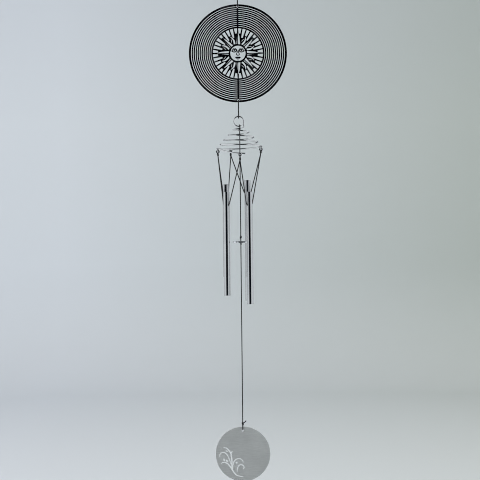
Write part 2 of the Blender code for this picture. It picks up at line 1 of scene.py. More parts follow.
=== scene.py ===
"""Hanging wind spinner: the finish of every piece, the studio round it, and the camera.

Metres, +Z up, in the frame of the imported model. The front of the disc faces -Y, and the object
hangs from the origin. Every CAD node is replaced by a finer piece of the same sizes."""

from math import asin, atan2, copysign, cos, degrees, exp, pi, radians, sin, tau

import bmesh
import bpy
import numpy as np
from mathutils import Matrix, Vector
from mathutils.geometry import delaunay_2d_cdt


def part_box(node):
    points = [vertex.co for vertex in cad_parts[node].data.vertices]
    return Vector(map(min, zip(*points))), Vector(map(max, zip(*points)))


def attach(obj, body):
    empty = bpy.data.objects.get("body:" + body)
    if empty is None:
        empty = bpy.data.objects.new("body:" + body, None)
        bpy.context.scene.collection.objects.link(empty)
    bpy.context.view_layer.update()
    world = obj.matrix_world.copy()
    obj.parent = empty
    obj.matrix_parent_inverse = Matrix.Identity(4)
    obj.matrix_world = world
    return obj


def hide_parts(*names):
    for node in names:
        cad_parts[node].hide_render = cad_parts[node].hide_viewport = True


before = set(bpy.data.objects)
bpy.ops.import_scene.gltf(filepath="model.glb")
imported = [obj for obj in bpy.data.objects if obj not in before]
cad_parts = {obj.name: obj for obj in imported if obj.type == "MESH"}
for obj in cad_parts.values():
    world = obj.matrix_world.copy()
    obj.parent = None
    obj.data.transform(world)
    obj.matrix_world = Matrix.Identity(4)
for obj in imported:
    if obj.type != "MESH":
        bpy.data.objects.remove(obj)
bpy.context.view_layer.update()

# ---------------- sizes

MM = 0.001
GAP = 0.3 * MM  # left between pieces that bear on each other
HOLE_CLEARANCE = 0.2 * MM  # left besides, between a cord and a sheet's hole
LINE_X = 1.5 * MM  # of the spiral's axis and of all that hangs on the centre line

# Hanging ring
RING_WIRE = 2 * MM
RING_INNER_RADIUS = 8 * MM
WELD_PLACE = radians(118)  # from the ring's top
WELD_LENGTH = radians(5)
WELD_RISE = 0.09  # as a share of the wire's radius

# Cord
HANGING_CORD = 1.9 * MM  # above and below the disc
CORD = 1.6 * MM  # below the hanger
BRAID_DEPTH = 0.05  # how far the braid's hollows lie, as a share of the radius
BRAID_TWIST = 1.05 / MM  # radians that a strand turns along the cord
CORD_STEP = 0.3 * MM
CORD_SIDES = 16
KNOT_RADIUS = 1.1  # in cord widths
KNOT_HALF_HEIGHT = 2.8 * MM
KNOT_WRAPS = 2.6
KNOT_STRAND = 0.39  # radius of the tightened cord, in cord widths
KNOT_BRAID_DEPTH = 0.8 * BRAID_DEPTH
KNOT_STEP = 0.25 * MM
HANGING_KNOT_DROP = 7.5 * MM  # below the cord's upper bend

# Spinner disc
DISC_RADIUS = 76.2 * MM
DISC_THICKNESS = 1 * MM
DISC_CENTRE_Z = -108.7 * MM
RIM_WIDTH = 3.2 * MM
RING_COUNT = 10
RING_PITCH = 3.08 * MM
RING_WIDTH = 2.1 * MM
SUN_RING_INNER = 38.9 * MM
SUN_RING_OUTER = 41.4 * MM
SPINE_WIDTH = 2.8 * MM
HOLE_RADIUS = 1.7 * MM
HOLE_FROM_CENTRE = 72.9 * MM
EYELET_WIDTH = 1.3 * MM
ARC_STEPS = 56  # along half a circle

# The sun inside the rings
FACE_RADIUS = 11.9 * MM
FACE_LINE = 0.8 * MM
RAY_COUNT = 8
RAY_ROOT = 14.3 * MM
RAY_SHOULDER = 26.5 * MM
RAY_TIP = 32 * MM
RAY_OPEN_WIDTH = 3.3 * MM
RAY_SLIT_WIDTH = 1.1 * MM
RAY_TIP_WIDTH = 0.3 * MM
RAY_SHOULDER_SHARE = 0.62  # of the open width, at the shoulder
RAY_SLANT = 0.4 * MM  # how much further in a ray's open half starts at its side
CORNER_CUT = 0.06  # of each side of a ray, taken by the curve at its corner
FLAME_SPAN = (15 * MM, 28 * MM)  # its root and its tip, from the middle
FLAME_WIDTH = 2.7 * MM
FLAME_SWAY = radians(4.8)  # how far a flame bends from a straight line
FLAME_ROOT_SHIFT = radians(1.5)  # away from a ray that opens towards it
FLAME_TIP_SHIFT = radians(2.5)  # to below the nearest slot
VEIN_SPAN = (0.33, 0.69)  # where the slit beside a flame starts and ends, as shares of the flame
VEIN_AWAY = (radians(13), radians(6.5))  # from the flame, at the slit's start and end
VEIN_WIDTH = 0.9 * MM
VEIN_TAPER = 0.43
SLOT_COUNT = 36
SLOT_HALF_ANGLE = radians(3.65)
SLOT_INNER_HALF_ANGLE = radians(2.4)
SLOT_STARTS = (34 * MM, 31 * MM, 24.3 * MM, 24.9 * MM, 29.2 * MM)  # from a straight ray, every 5 degrees

# Spiral hanger
HANGER_WIRE = 2 * MM
LOOP_RADIUS = 7.6 * MM
LOOP_CENTRE_Z = -214.6 * MM
LOOP_ENDS = (radians(-55), radians(-370))  # its free end, and where it drops to the spiral
LOOP_STEPS = 80
SPIRAL_TOP_Z = -222.6 * MM
SPIRAL_FALL = 9.2 * MM  # a turn, at the top
SPIRAL_FALL_GROWTH = -0.35 * MM
SPIRAL_TOP_RADIUS = 5.8 * MM
SPIRAL_FOOT_RADIUS = 34.8 * MM
SPIRAL_SWELL = 1.4
SPIRAL_TURNS = 4.79
SPIRAL_START = 0.1  # turns, where the bend from the loop ends
LAST_DROP = 7.5 * MM
TURN_STEPS = 110
EYE_RADIUS = 2.2 * MM
EYE_STEPS = 30
EYE_SPACING = 2.4 * MM
EYE_CLEARANCE = 4 * MM  # of the run of the wire, on each side of an eye
EYE_SHIFT_RUN = 6 * MM  # over which the run of the wire swings out or in
EYE_TURNS = {"right": 4.0, "back": 4.32, "left": 4.5, "front": 4.75}

# Chime tubes
TUBE_RADIUS = 4.75 * MM
TUBE_WALL = 0.9 * MM
TUBE_HOLE_RADIUS = 1.5 * MM
TUBE_HOLE_DROP = 20.2 * MM
TUBE_SIDES = 64
TUBE_CHAMFER = 0.2 * MM
TUBE_EYES = {
    "tube_front_left": ("left", "front"),
    "tube_front_right": ("front", "right"),
    "tube_back_right": ("right", "back"),
    "tube_back_left": ("back", "left"),
}
TUBE_CORD_BEND = 3 * MM
TUBE_CORD_RISE = 0.2 * MM  # of the cord above the middle of the hole

# Clapper
CLAPPER_KNOT_RISE = 7.6 * MM
STOP_TURNS = 1.2  # of the cord that is knotted below the clapper
STOP_HEIGHT = 1.1 * MM
STOP_RADIUS = 0.9 * MM
STOP_STRAND = 0.38  # radius of the cord in it, in cord widths
CLAPPER_SOFT = 0.8  # radius of its edge, as a share of half its thickness
BORE_CHAMFER = 0.15 * MM

# Wind sail
SAIL_HOLE_RADIUS = 1.9 * MM
SAIL_HOLE_FROM_CENTRE = 36.7 * MM
SAIL_KNOT_Z = -685 * MM
SAIL_CHAMFER = 0.2 * MM
TAG_END = Vector((5.5 * MM, 0, 4.2 * MM))
STROKE_STEP = 0.45  # mm

# Camera
CAMERA_ACROSS = 0.2 * MM
CAMERA_DISTANCE = 2.5
CAMERA_HEIGHT = -0.399
VIEW_WIDTH = 0.7464  # at the object's axis
CAMERA_ROLL = radians(0.6)

# Studio
FLOOR_Z = -1.02
FLOOR_RADIUS = 4.0
FLOOR_CURVE = 0.5
WALL_TOP = 2.4
PALE_WALL = (0.5, 0.54, 0.57, 1)
SIDE_LIGHT = (0.98, 1.02, 1.05, 1)
DARK_ROOM = (0.012, 0.014, 0.018, 1)
# What the metal mirrors, from PALE_WALL straight behind the object (0) to DARK_ROOM in front of it (1)
MIRROR_STOPS = (
    (0.05, PALE_WALL), (0.07, DARK_ROOM), (0.18, DARK_ROOM),
    (0.23, SIDE_LIGHT), (0.765, SIDE_LIGHT), (0.8, DARK_ROOM),
)
DIM_CEILING = (0.14, 0.15, 0.16, 1)
SOFT_AIR = (0.8, 0.8, 0.8, 1)  # what lights everything but the mirrors

CORD_RADIUS = CORD / 2
HANGER_WIRE_RADIUS = HANGER_WIRE / 2
# From the middle of what a cord bends round to the middle of the cord
WIRE_HOLD = HANGER_WIRE_RADIUS + GAP + CORD_RADIUS
DISC_HOLD = DISC_THICKNESS / 2 + 2 * GAP + HANGING_CORD / 2
UP = Vector((0, 0, 1))


def tube_place(node):
    """The axis of a tube and its two ends, from the CAD box, and the eyes that it hangs from."""
    low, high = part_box(node)
    middle = (low + high) / 2
    return {"at": (middle.x, middle.y), "top": high.z, "bottom": low.z, "eyes": TUBE_EYES[node]}


TUBES = {node: tube_place(node) for node in TUBE_EYES}


def sheet_place(node):
    """The middle of a round sheet, its radius and its thickness, from the CAD box."""
    low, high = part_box(node)
    return (low + high) / 2, (high.x - low.x) / 2, min(high.y - low.y, high.z - low.z)


CLAPPER_CENTRE, CLAPPER_RADIUS, CLAPPER_THICKNESS = sheet_place("clapper")
SAIL_CENTRE, SAIL_RADIUS, SAIL_THICKNESS = sheet_place("sail")

# ---------------- materials


class Nodes:
    """A node tree under construction."""

    def __init__(self, tree):
        self.tree = tree

    def add(self, kind, inputs=None, **settings):
        """A new node with its settings. Each input is given as a value, or as a socket to link."""
        node = self.tree.nodes.new(kind)
        for setting, value in settings.items():
            setattr(node, setting, value)
        for name, value in (inputs or {}).items():
            if isinstance(value, bpy.types.NodeSocket):
                self.tree.links.new(value, node.inputs[name])
            else:
                node.inputs[name].default_value = value
        return node

    def place(self, stretch=(1, 1, 1), space="Object", shift=(0, 0, 0)):
        """Coordinates in metres, or along the cord, stretched by a factor each way and shifted."""
        coordinates = self.add("ShaderNodeTexCoord").outputs[space]
        inputs = {"Vector": coordinates, "Scale": stretch, "Location": shift}
        return self.add("ShaderNodeMapping", inputs).outputs["Vector"]

    def noise(self, scale, detail=3, roughness=0.55, **where):
        inputs = {"Vector": self.place(**where), "Scale": scale, "Detail": detail, "Roughness": roughness}
        return self.add("ShaderNodeTexNoise", inputs).outputs["Fac"]

    def between(self, factor, low, high, start=0.3, end=0.7):
        """A number that runs from low to high as the factor runs from start to end."""
        inputs = {"Value": factor, "From Min": start, "From Max": end, "To Min": low, "To Max": high}
        return self.add("ShaderNodeMapRange", inputs).outputs["Result"]

    def shades(self, factor, low, high, start=0.3, end=0.7):
        """A colour that runs from low to high as the factor runs from start to end."""
        ramp = self.add("ShaderNodeValToRGB", {"Fac": factor})
        for element, place, colour in zip(ramp.color_ramp.elements, (start, end), (low, high)):
            element.position, element.color = place, (*colour, 1)
        return ramp.outputs["Color"]

    def mix(self, factor, first, second, how="MIX"):
        inputs = {0: factor, 6: first, 7: second}
        return self.add("ShaderNodeMix", inputs, data_type="RGBA", blend_type=how).outputs[2]

    def times(self, first, second):
        """One colour multiplied by another."""
        return self.mix(1, first, second, "MULTIPLY")

    def bump(self, height, strength, distance, normal=None):
        inputs = {"Height": height, "Strength": strength, "Distance": distance}
        if normal:
            inputs["Normal"] = normal
        return self.add("ShaderNodeBump", inputs).outputs["Normal"]


class Finish(Nodes):
    """A procedural material under construction."""

    def __init__(self, name, colour, metallic, roughness):
        self.material = bpy.data.materials.new(name)
        self.material.use_nodes = True
        super().__init__(self.material.node_tree)
        self.shader = self.tree.nodes["Principled BSDF"]
        self.shader.inputs["Base Color"].default_value = (*colour, 1)
        self.shader.inputs["Metallic"].default_value = metallic
        self.shader.inputs["Roughness"].default_value = roughness

    def made(self, *sockets):
        """The material, its colour, roughness and normal linked to the sockets given, in that order."""
        for name, socket in zip(("Base Color", "Roughness", "Normal"), sockets):
            self.tree.links.new(socket, self.shader.inputs[name])
        return self.material


def bright_wire():
    """Polished stainless wire: drawing lines too fine to see apart, and a few duller patches."""
    steel = Finish("bright_wire", (0.66, 0.67, 0.68), 1, 0.14)
    patches = steel.noise(90, 4)
    specks = steel.noise(2600, 2)
    colour = steel.shades(patches, (0.6, 0.61, 0.62), (0.71, 0.72, 0.73))
    normal = steel.bump(specks, 0.25, 0.02 * MM)
    return steel.made(colour, steel.between(patches, 0.1, 0.2), normal)


def drawn_aluminium():
    """Polished tube: fine lines along it from the die, and faint finger marks."""
    metal = Finish("drawn_aluminium", (0.48, 0.49, 0.5), 1, 0.11)
    lines = metal.noise(5200, stretch=(1, 1, 0.012))
    marks = metal.noise(75, 4, stretch=(1, 1, 0.6))
    colour = metal.shades(marks, (0.44, 0.45, 0.465), (0.52, 0.53, 0.54))
    normal = metal.bump(lines, 0.08, 0.01 * MM)
    return metal.made(colour, metal.between(marks, 0.08, 0.17), normal)


def painted_dark_reflection_steel():
    """""Sheet steel, lightly brushed from side to side, with a slight blue tint. Its near-black colour is a
    painted reflection of the dark room that the polished disc mirrors.
    """
    steel = Finish("painted_dark_reflection_sheet", (0.03, 0.032, 0.038), 1, 0.27)
    grain = steel.noise(3800, stretch=(0.03, 1, 1))
    clouds = steel.noise(34, 4, 0.6)
    # painted reflection: these near-black shades stand in for the dark room that polished steel mirrors
    tint = steel.shades(clouds, (0.03, 0.036, 0.052), (0.048, 0.05, 0.06), 0.36, 0.66)
    fine = steel.shades(grain, (0.8, 0.8, 0.8), (1.15, 1.15, 1.15))
    normal = steel.bump(grain, 0.22, 0.015 * MM)
    return steel.made(steel.times(tint, fine), steel.between(clouds, 0.2, 0.34), normal)


def satin_steel():
    """Brushed sheet: level lines, broken and fine, over slow clouds of tone."""
    steel = Finish("satin_sheet", (0.77, 0.79, 0.78), 0.6, 0.5)
    grain = steel.noise(4200, 4, stretch=(0.025, 1, 1))
    clouds = steel.noise(26)
    tint = steel.shades(clouds, (0.77, 0.79, 0.78), (0.86, 0.88, 0.87), 0.36, 0.66)
    fine = steel.shades(grain, (0.88, 0.88, 0.88), (1.06, 1.06, 1.06))
    normal = steel.bump(grain, 0.3, 0.02 * MM)
    return steel.made(steel.times(tint, fine), steel.between(grain, 0.44, 0.56), normal)


def etched_steel():
    """The scroll, etched in the sail: the same steel, frosted, so it is paler."""
    steel = Finish("etched_sheet", (0.88, 0.9, 0.9), 0.1, 0.6)
    frost = steel.noise(5200)
    colour = steel.shades(frost, (0.84, 0.86, 0.86), (0.95, 0.97, 0.97))
    normal = steel.bump(frost, 0.4, 0.03 * MM)
    return steel.made(colour, steel.between(frost, 0.52, 0.66), normal)


def clapper_steel():
    """Turned and polished: fine rings round the bore on both faces."""
    steel = Finish("turned_steel", (0.7, 0.72, 0.74), 1, 0.09)
    from_bore = (-CLAPPER_CENTRE.x, 0, 0)
    apart = steel.add("ShaderNodeSeparateXYZ", {"Vector": steel.place(shift=from_bore)})
    level = steel.add("ShaderNodeCombineXYZ", {"X": apart.outputs["X"], "Y": apart.outputs["Y"]})
    reach = steel.add("ShaderNodeVectorMath", {0: level.outputs["Vector"]}, operation="LENGTH")
    inputs = {"W": reach.outputs["Value"], "Scale": 5200}
    rings = steel.add("ShaderNodeTexNoise", inputs, noise_dimensions="1D").outputs["Fac"]
    marks = steel.noise(160, shift=from_bore)
    colour = steel.shades(marks, (0.64, 0.66, 0.68), (0.76, 0.78, 0.8))
    normal = steel.bump(rings, 0.2, 0.01 * MM)
    return steel.made(colour, steel.between(marks, 0.06, 0.14), normal)


def black_braid():
    """Braided black cord: two sets of strands that cross, each of fine fibres, worn greyer on top."""
    cord = Finish("black_braid", (0.012, 0.012, 0.014), 0, 0.72)
    for name, value in (("Sheen Weight", 0.12), ("Sheen Roughness", 0.4), ("Specular IOR Level", 0.35)):
        cord.shader.inputs[name].default_value = value
    fibres = cord.noise(9, stretch=(6, 1.2, 1), space="UV")
    worn = cord.noise(420)
    inputs = {"Vector": cord.place(space="UV"), "Scale": 0.55, "Distortion": 1.2}
    strands = cord.add("ShaderNodeTexWave", inputs, bands_direction="DIAGONAL").outputs["Fac"]
    dark = cord.shades(fibres, (0.007, 0.007, 0.009), (0.02, 0.02, 0.023))
    grey = cord.shades(worn, (0.7, 0.7, 0.7), (1.5, 1.5, 1.55), 0.35, 0.75)
    normal = cord.bump(fibres, 0.5, 0.04 * MM, cord.bump(strands, 0.25, 0.05 * MM))
    return cord.made(cord.times(dark, grey), cord.between(fibres, 0.6, 0.85), normal)


# ---------------- making meshes


def add_object(name, data):
    obj = bpy.data.objects.new(name, data)
    bpy.context.scene.collection.objects.link(obj)
    return obj


def add_piece(name, mesh, materials, node, smooth_angle):
    """A piece of the scene in place of a CAD node, with its finish."""
    for material in materials:
        mesh.materials.append(material)
    mesh.shade_smooth()
    mesh.set_sharp_from_angle(angle=radians(smooth_angle))
    piece = add_object(name, mesh)
    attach(piece, "root")
    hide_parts(node)


def mesh_from(name, shape):
    """A mesh from a bmesh, which is freed."""
    mesh = bpy.data.meshes.new(name)
    shape.to_mesh(mesh)
    shape.free()
    return mesh


def evaluated_mesh(obj):
    """The mesh of a filled curve, or of an object with its modifiers. The object itself is removed."""
    bpy.context.view_layer.update()
    mesh = bpy.data.meshes.new_from_object(obj.evaluated_get(bpy.context.evaluated_depsgraph_get()))
    bpy.data.objects.remove(obj, do_unlink=True)
    return mesh


def turned(name, profile, steps, centre, closed=True):
    """A profile of (radius, height) turned round the vertical."""
    shape = bmesh.new()
    rings = []
    for radius, height in profile:
        corners = [polar(radius, tau * i / steps) for i in range(steps)]
        rings.append([shape.verts.new((centre[0] + x, centre[1] + y, height)) for x, y in corners])
    for k in range(len(rings) if closed else len(rings) - 1):
        first, second = rings[k], rings[(k + 1) % len(rings)]
        for i in range(steps):
            j = (i + 1) % steps
            shape.faces.new((first[i], first[j], second[j], second[i]))
    bmesh.ops.recalc_face_normals(shape, faces=shape.faces)
    return mesh_from(name, shape)


def smooth_route(points, step, closed=False):
    """Even points along a smooth curve through the given ones (centripetal Catmull-Rom)."""
    given = [np.array(point, float) for point in points]
    if closed:
        given = [given[-1], *given, given[0], given[1]]
    else:
        given = [2 * given[0] - given[1], *given, 2 * given[-1] - given[-2]]
    made = []
    for a, b, c, d in zip(given, given[1:], given[2:], given[3:]):
        times = [0]
        for start, end in ((a, b), (b, c), (c, d)):
            times.append(times[-1] + max(np.linalg.norm(end - start), 1e-7) ** 0.5)
        count = max(1, round(float(np.linalg.norm(c - b)) / step))
        t = (times[1] + (times[2] - times[1]) * np.arange(count) / count)[:, None]

        def mix(first, second, low, high):
            low, high = times[low], times[high]
            return ((high - t) * first + (t - low) * second) / (high - low)

        ab, bc, cd = mix(a, b, 0, 1), mix(b, c, 1, 2), mix(c, d, 2, 3)
        made.append(mix(mix(ab, bc, 0, 2), mix(bc, cd, 1, 3), 1, 2))
    if not closed:
        made.append(given[-2][None, :])
    return np.vstack(made)


def frames_along(route, closed):
    """A way along, a way across and a way beside at each point, turning as little as they can."""
    if closed:
        along = np.roll(route, -1, 0) - np.roll(route, 1, 0)
    else:
        along = np.gradient(route, axis=0)
    along /= np.linalg.norm(along, axis=1)[:, None]
    first = np.cross(along[0], (0, 0, 1) if abs(along[0][2]) < 0.9 else (0, 1, 0))
    across = [first / np.linalg.norm(first)]
    for way in along[1:]:
        side = across[-1] - way * np.dot(across[-1], way)
        across.append(side / np.linalg.norm(side))
    across = np.array(across)
    beside = np.cross(along, across)
    if closed:
        end = across[-1] - along[0] * np.dot(across[-1], along[0])
        twist = atan2(np.dot(end, beside[0]), np.dot(end, across[0]))
        turn = -twist * np.arange(len(route))[:, None] / len(route)
        near, far = np.cos(turn), np.sin(turn)
        across, beside = across * near + beside * far, beside * near - across * far
    return across, beside


class Skins:
    """Tubes of wire or cord, gathered in one mesh. The UV map runs round them, and along in mm."""

    def __init__(self):
        self.corners, self.faces, self.uvs, self.count = [], [], [], 0

    def tube(self, route, radius, sides, closed=False, braid=0):
        """A tube of one radius, or of one for each point."""
        route = np.asarray(route)
        across, beside = frames_along(route, closed)
        gone = np.concatenate([[0], np.cumsum(np.linalg.norm(np.diff(route, axis=0), axis=1))])
        angle = tau * np.arange(sides) / sides
        reach = np.broadcast_to(np.asarray(radius, float).reshape(-1, 1), (len(route), sides)).copy()
        if braid:
            turn = BRAID_TWIST * gone[:, None]
            ridge = np.maximum(np.abs(np.cos(2 * (angle + turn))), np.abs(np.cos(2 * (angle - turn))))
            reach *= 1 - braid * (1 - ridge) / 0.3
        ring = across[:, None, :] * np.cos(angle)[:, None] + beside[:, None, :] * np.sin(angle)[:, None]
        corners = (route[:, None, :] + ring * reach[:, :, None]).reshape(-1, 3)
        rows = len(route)
        for i in range(rows if closed else rows - 1):
            low, high = self.count + i * sides, self.count + ((i + 1) % rows) * sides
            start = gone[i] / MM
            end = start + float(np.linalg.norm(route[(i + 1) % rows] - route[i])) / MM
            for j in range(sides):
                k = (j + 1) % sides
                self.faces.append((low + j, low + k, high + k, high + j))
                u, v = j / sides, (j + 1) / sides
                self.uvs += [(u, start), (v, start), (v, end), (u, end)]
        if not closed:
            for row, order in ((0, -1), (rows - 1, 1)):
                cap = [self.count + row * sides + j for j in range(sides)][::order]
                self.faces.append(tuple(cap))
                self.uvs += [(0.5, gone[row] / MM)] * sides
        self.corners.append(corners)
        self.count += len(corners)

    def cord(self, points, width=CORD, closed=False):
        """A braided cord along a smooth curve through the points."""
        self.tube(smooth_route(points, CORD_STEP, closed), width / 2, CORD_SIDES, closed, BRAID_DEPTH)

    def tight_cord(self, points, radius):
        """The thinner cord inside a knot."""
        self.tube(smooth_route(points, KNOT_STEP), radius, CORD_SIDES, braid=KNOT_BRAID_DEPTH)

    def add_as(self, name, material, node):
        """Adds them all as one piece."""
        made = bpy.data.meshes.new(name)
        made.from_pydata(np.vstack(self.corners).tolist(), [], self.faces)
        layer = made.uv_layers.new(name="along")
        layer.data.foreach_set("uv", np.array(self.uvs, np.float32).ravel())
        made.validate()
        add_piece(name, made, [material], node, 60)


def drilled(mesh, centre, way):
    """A tube's mesh with its cross hole."""
    shape = bmesh.new()
    ends = {"cap_ends": True, "radius1": TUBE_HOLE_RADIUS, "radius2": TUBE_HOLE_RADIUS}
    bmesh.ops.create_cone(shape, segments=32, depth=4 * TUBE_RADIUS, **ends)
    shape.transform(Matrix.Translation(centre) @ way.to_track_quat("Z", "Y").to_matrix().to_4x4())
    blank, drill = add_object("drilled", mesh), add_object("drill", mesh_from("drill", shape))
    cut = blank.modifiers.new("drill", "BOOLEAN")
    cut.solver = "EXACT"
    cut.object = drill
    mesh = evaluated_mesh(blank)
    bpy.data.objects.remove(drill, do_unlink=True)
    return mesh


# ---------------- knots


def barrel_knot(skins, centre, turn, cord=CORD):
    """A pulled knot: turns of the cord round itself, tucked under at both ends, and one laid over."""
    strand = KNOT_STRAND * cord
    wrap = KNOT_RADIUS * cord - strand
    rise = KNOT_HALF_HEIGHT - strand
    wound, over = [], []
    for i in range(61):
        t = i / 60
        reach = wrap * (0.25 + 0.75 * min(1, 7 * t, 7 * (1 - t)))
        wound.append((*polar(reach, turn + tau * KNOT_WRAPS * t), rise * (2 * t - 1)))
    for i in range(21):
        t = i / 20
        over.append((*polar(wrap, turn + pi * (0.2 + 0.95 * t)), rise * 0.9 * (1 - 2 * t)))
    for way in (wound, over):
        skins.tight_cord(np.array(way) + np.array(centre), strand)


# ---------------- outlines of the disc


def polar(radius, angle):
    return (radius * cos(angle), radius * sin(angle))


def arc(radius, start, end, steps, centre=(0, 0)):
    """Points along an arc, both ends included."""
    made = []
    for i in range(steps + 1):
        across, up = polar(radius, start + (end - start) * i / steps)
        made.append((centre[0] + across, centre[1] + up))
    return made


def circle(radius, steps, centre=(0, 0)):
    return arc(radius, 0, tau * (steps - 1) / steps, steps - 1, centre)


def cubic_weights(t):
    """How much each of a cubic curve's four points counts, after a share of the curve."""
    return (1 - t) ** 3, 3 * t * (1 - t) ** 2, 3 * t * t * (1 - t), t ** 3


def weighed(weights, points):
    return tuple(sum(w * point[k] for w, point in zip(weights, points)) for k in (0, 1))


def chain(start, *curves):
    """Points along cubic curves end to end, without the last one. Each curve is given in mm by its two
    pulls and its end, and by its steps."""
    made = []
    for *corners, steps in curves:
        for i in range(steps):
            across, up = weighed(cubic_weights(i / steps), (start, *corners))
            made.append((across * MM, up * MM))
        start = corners[-1]
    return made


def mirrored(outline):
    return [(-across, up) for across, up in reversed(outline)]


def rounded(outline):
    """The outline with its corners cut to small curves."""
    made = []
    for i, corner in enumerate(outline):
        before, after = outline[i - 1], outline[(i + 1) % len(outline)]
        first = [c + (b - c) * CORNER_CUT for c, b in zip(corner, before)]
        last = [c + (a - c) * CORNER_CUT for c, a in zip(corner, after)]
        for t in (0, 1 / 3, 2 / 3, 1):
            made.append(weighed(((1 - t) ** 2, 2 * t * (1 - t), t * t), (first, corner, last)))
    return made


def ring_gaps():
    """Inner and outer radius of each gap between the disc's rings, from the rim inwards."""
    gaps = []
    outer = DISC_RADIUS - RIM_WIDTH
    first_ring = outer - RING_PITCH + RING_WIDTH / 2
    for i in range(RING_COUNT):
        ring_outer = first_ring - i * RING_PITCH + RING_WIDTH / 2
        gaps.append((ring_outer, outer))
        outer = ring_outer - RING_WIDTH
    gaps.append((SUN_RING_OUTER, outer))
    return gaps


def spine_half_angle(radius):
    """Half the angle that the spine takes at a radius, with the eyelet round the hanging hole."""
    eyelet = HOLE_RADIUS + EYELET_WIDTH
    reach = max(0, eyelet ** 2 - (radius - HOLE_FROM_CENTRE) ** 2) ** 0.5
    return asin(max(SPINE_WIDTH / 2, reach) / radius)


def ring_slots():
    """The half-round slots that leave the rings standing, on both sides of the spine."""
    slots = []
    for inner, outer in ring_gaps():
        far, near = pi / 2 - spine_half_angle(outer), pi / 2 - spine_half_angle(inner)
        slot = arc(outer, -far, far, ARC_STEPS) + arc(inner, near, -near, ARC_STEPS)
        slots += [slot, mirrored(slot)]
    return slots


def sun_slots():
    """The narrow wedges between the bars that run in from the sun's ring to its rays."""
    slots = []
    ray_step = tau / RAY_COUNT
    for i in range(SLOT_COUNT):
        angle = (i + 0.5) * tau / SLOT_COUNT
        from_ray = abs((angle + ray_step / 2) % ray_step - ray_step / 2)
        inner = SLOT_STARTS[round(degrees(from_ray) / 5)]
        slot = arc(SUN_RING_INNER, angle - SLOT_HALF_ANGLE, angle + SLOT_HALF_ANGLE, 4)
        slot += arc(inner, angle + SLOT_INNER_HALF_ANGLE, angle - SLOT_INNER_HALF_ANGLE, 4)
        slots.append(slot)
    return slots


def beside(angle, radius, side):
    """A point at a radius along a ray, and a distance to its side."""
    along, off = polar(radius, angle), polar(side, angle + pi / 2)
    return (along[0] + off[0], along[1] + off[1])


def open_side(index):
    """The side on which a straight ray is open: +1 for the one at greater angles."""
    return -1 if 1 <= index % RAY_COUNT <= RAY_COUNT / 2 else 1


def straight_ray(index):
    """The two cuts of a straight ray: one half open, the other half a thin slit."""
    angle = index * tau / RAY_COUNT
    side = open_side(index)
    half = [
        (RAY_ROOT, 0),
        (RAY_ROOT - RAY_SLANT, RAY_OPEN_WIDTH),
        (RAY_SHOULDER, RAY_SHOULDER_SHARE * RAY_OPEN_WIDTH),
        (RAY_TIP, RAY_TIP_WIDTH),
        (RAY_TIP, 0),
    ]
    slit = [(RAY_ROOT + 0.4 * MM, 1), (RAY_ROOT + 0.2 * MM, 2), (RAY_SHOULDER, 0.8)]
    half = [beside(angle, radius, side * (FACE_LINE / 2 + off)) for radius, off in half]
    slit = [beside(angle, radius, -side * widths * RAY_SLIT_WIDTH) for radius, widths in slit]
    return [rounded(half), rounded(slit)]


def part_way(ends, share):
    return ends[0] + share * (ends[1] - ends[0])


def flame_angle(index, t):
    """Where a flame's middle line lies after a share of its length. It bends upwards in the disc's
    lower half and downwards in its upper half."""
    middle = (index + 0.5) * tau / RAY_COUNT
    root = middle + FLAME_ROOT_SHIFT * (open_side(index) + open_side(index + 1))
    tip = middle + FLAME_TIP_SHIFT * (-1) ** index
    bend = -FLAME_SWAY if index < RAY_COUNT / 2 else FLAME_SWAY
    return part_way((root, tip), t) + bend * sin(t * pi)


def both_sides(steps, middle):
    """The two sides of a narrow cut. Its middle gives an angle, a radius and half a width at a share."""
    places = [middle(i / steps) for i in range(steps + 1)]
    return [[beside(angle, radius, side * half) for angle, radius, half in places] for side in (1, -1)]


def flame_ray(index):
    """The cut of a flame between two straight rays, which comes to a point."""

    def middle(t):
        return flame_angle(index, t), part_way(FLAME_SPAN, t), FLAME_WIDTH / 2 * (1 - t * t) ** 0.5

    left, right = both_sides(22, middle)
    return left + right[-2::-1]


def flame_vein(index):
    """The thin slit beside a flame, on the side that it bends away from."""
    away = 1 if index < RAY_COUNT / 2 else -1

    def middle(share):
        t = part_way(VEIN_SPAN, share)
        angle = flame_angle(index, t) + away * part_way(VEIN_AWAY, share)
        half = VEIN_WIDTH / 2 * (1 - VEIN_TAPER * abs(2 * share - 1))
        return angle, part_way(FLAME_SPAN, t), half

    left, right = both_sides(12, middle)
    return left + right[::-1]


